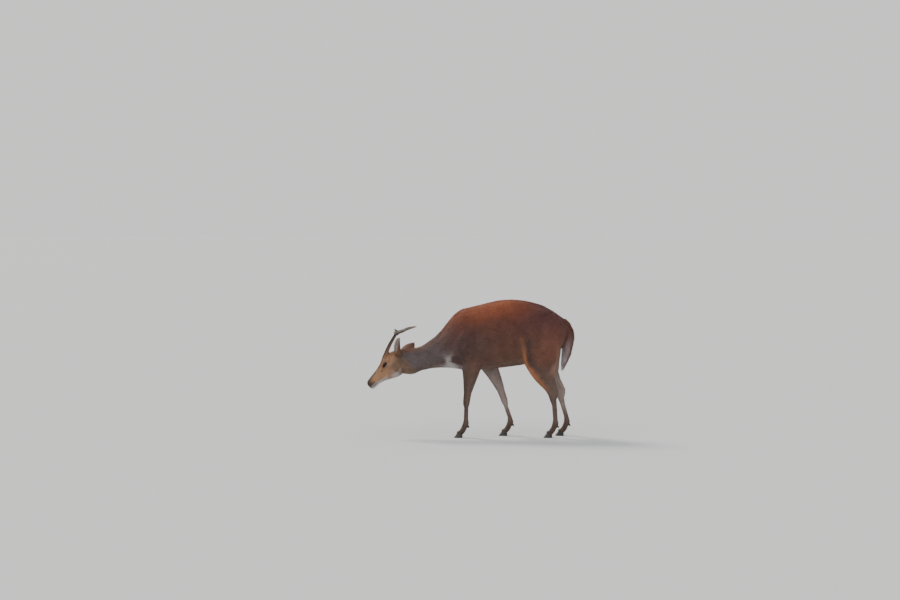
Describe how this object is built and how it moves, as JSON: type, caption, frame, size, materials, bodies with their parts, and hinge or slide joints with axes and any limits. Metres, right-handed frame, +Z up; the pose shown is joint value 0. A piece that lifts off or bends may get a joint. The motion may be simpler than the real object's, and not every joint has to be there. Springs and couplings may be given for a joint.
{
  "type": "muntjac",
  "caption": "Still, life-size adult male muntjac walking with its head low, short antlers on long pedicles, red-brown coat and white-edged tail.",
  "frame": {"origin": "on the floor under the middle of the whole animal's box", "axes": "+Z up, head towards -X, the animal's left side towards -Y"},
  "size_m": [0.9344, 0.2212, 0.624],
  "materials": {
    "coat_body": "short glossy red-brown hair, darker along the back and rump, paler beneath",
    "coat_neck": "short grey-brown hair, reddish along the nape, white at the chest",
    "coat_legs": "very short grey-brown hair, paler inside",
    "coat_face": "very short light orange-brown hair with a dark muzzle, bare moist nose pad",
    "coat_ear": "thin short hair outside, sparse pale hair and pinkish skin inside",
    "coat_stripe": "black-brown hair on the pedicles and down to the brows",
    "coat_tail": "longer hair, red-brown above and white beneath",
    "antler": "dry fluted bone, dark brown at the burr, pale and polished at the tip",
    "hoof": "dark hoof horn with fine growth rings, worn paler at the edge",
    "eye": "moist dark brown eye with a wide level pupil"
  },
  "bodies": {
    "root": {"head": "coat_face", "neck": "coat_neck", "torso": "coat_body", "tail": "coat_tail", "foreleg_left": "coat_legs", "foreleg_right": "coat_legs", "hindleg_left": "coat_legs", "hindleg_right": "coat_legs", "ear_left": "coat_ear", "ear_right": "coat_ear", "eye_left": "eye", "eye_right": "eye", "pedicle_left": "coat_stripe", "pedicle_right": "coat_stripe", "antler_beam_left": "antler", "antler_beam_right": "antler", "antler_brow_tine_left": "antler", "antler_brow_tine_right": "antler", "hoof_foreleg_left_outer": "hoof", "hoof_foreleg_left_inner": "hoof", "hoof_foreleg_right_outer": "hoof", "hoof_foreleg_right_inner": "hoof", "hoof_hindleg_left_outer": "hoof", "hoof_hindleg_left_inner": "hoof", "hoof_hindleg_right_outer": "hoof", "hoof_hindleg_right_inner": "hoof", "dewclaw_foreleg_left_outer": "hoof", "dewclaw_foreleg_left_inner": "hoof", "dewclaw_foreleg_right_outer": "hoof", "dewclaw_foreleg_right_inner": "hoof", "dewclaw_hindleg_left_outer": "hoof", "dewclaw_hindleg_left_inner": "hoof", "dewclaw_hindleg_right_outer": "hoof", "dewclaw_hindleg_right_inner": "hoof"}
  },
  "joints": []
}
